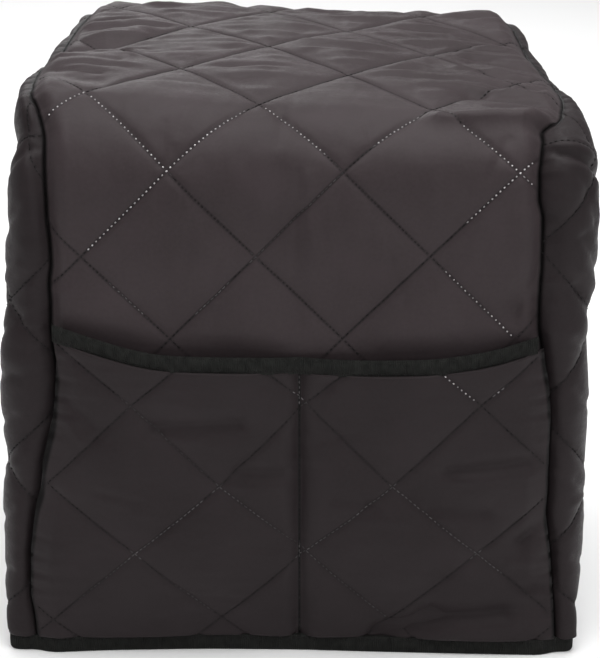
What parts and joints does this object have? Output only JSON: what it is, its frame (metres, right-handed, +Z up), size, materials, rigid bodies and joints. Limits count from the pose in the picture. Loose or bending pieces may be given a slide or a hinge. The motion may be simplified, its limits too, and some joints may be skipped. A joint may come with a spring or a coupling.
{
  "type": "quilted coffee machine cover",
  "caption": "Box-shaped quilted cloth cover for a table-top coffee machine, open below, with a divided front pocket and bound edges.",
  "frame": {"origin": "on the surface the cover stands on, under the middle of its box", "axes": "+Z up; -Y towards the pocket face; +X to the right of someone who faces the pocket"},
  "size_m": [0.3582, 0.3024, 0.3506],
  "materials": {
    "quilted_cloth": "satin woven nylon over wadding, dark warm charcoal",
    "binding_tape": "matte ribbed tape, near black",
    "stitching": "quilting thread, catching the light"
  },
  "bodies": {
    "root": {"main_panel": "quilted_cloth", "side_panel_left": "quilted_cloth", "side_panel_right": "quilted_cloth", "pocket_panel": "quilted_cloth", "pocket_binding": "binding_tape", "hem_binding": "binding_tape"}
  },
  "joints": []
}
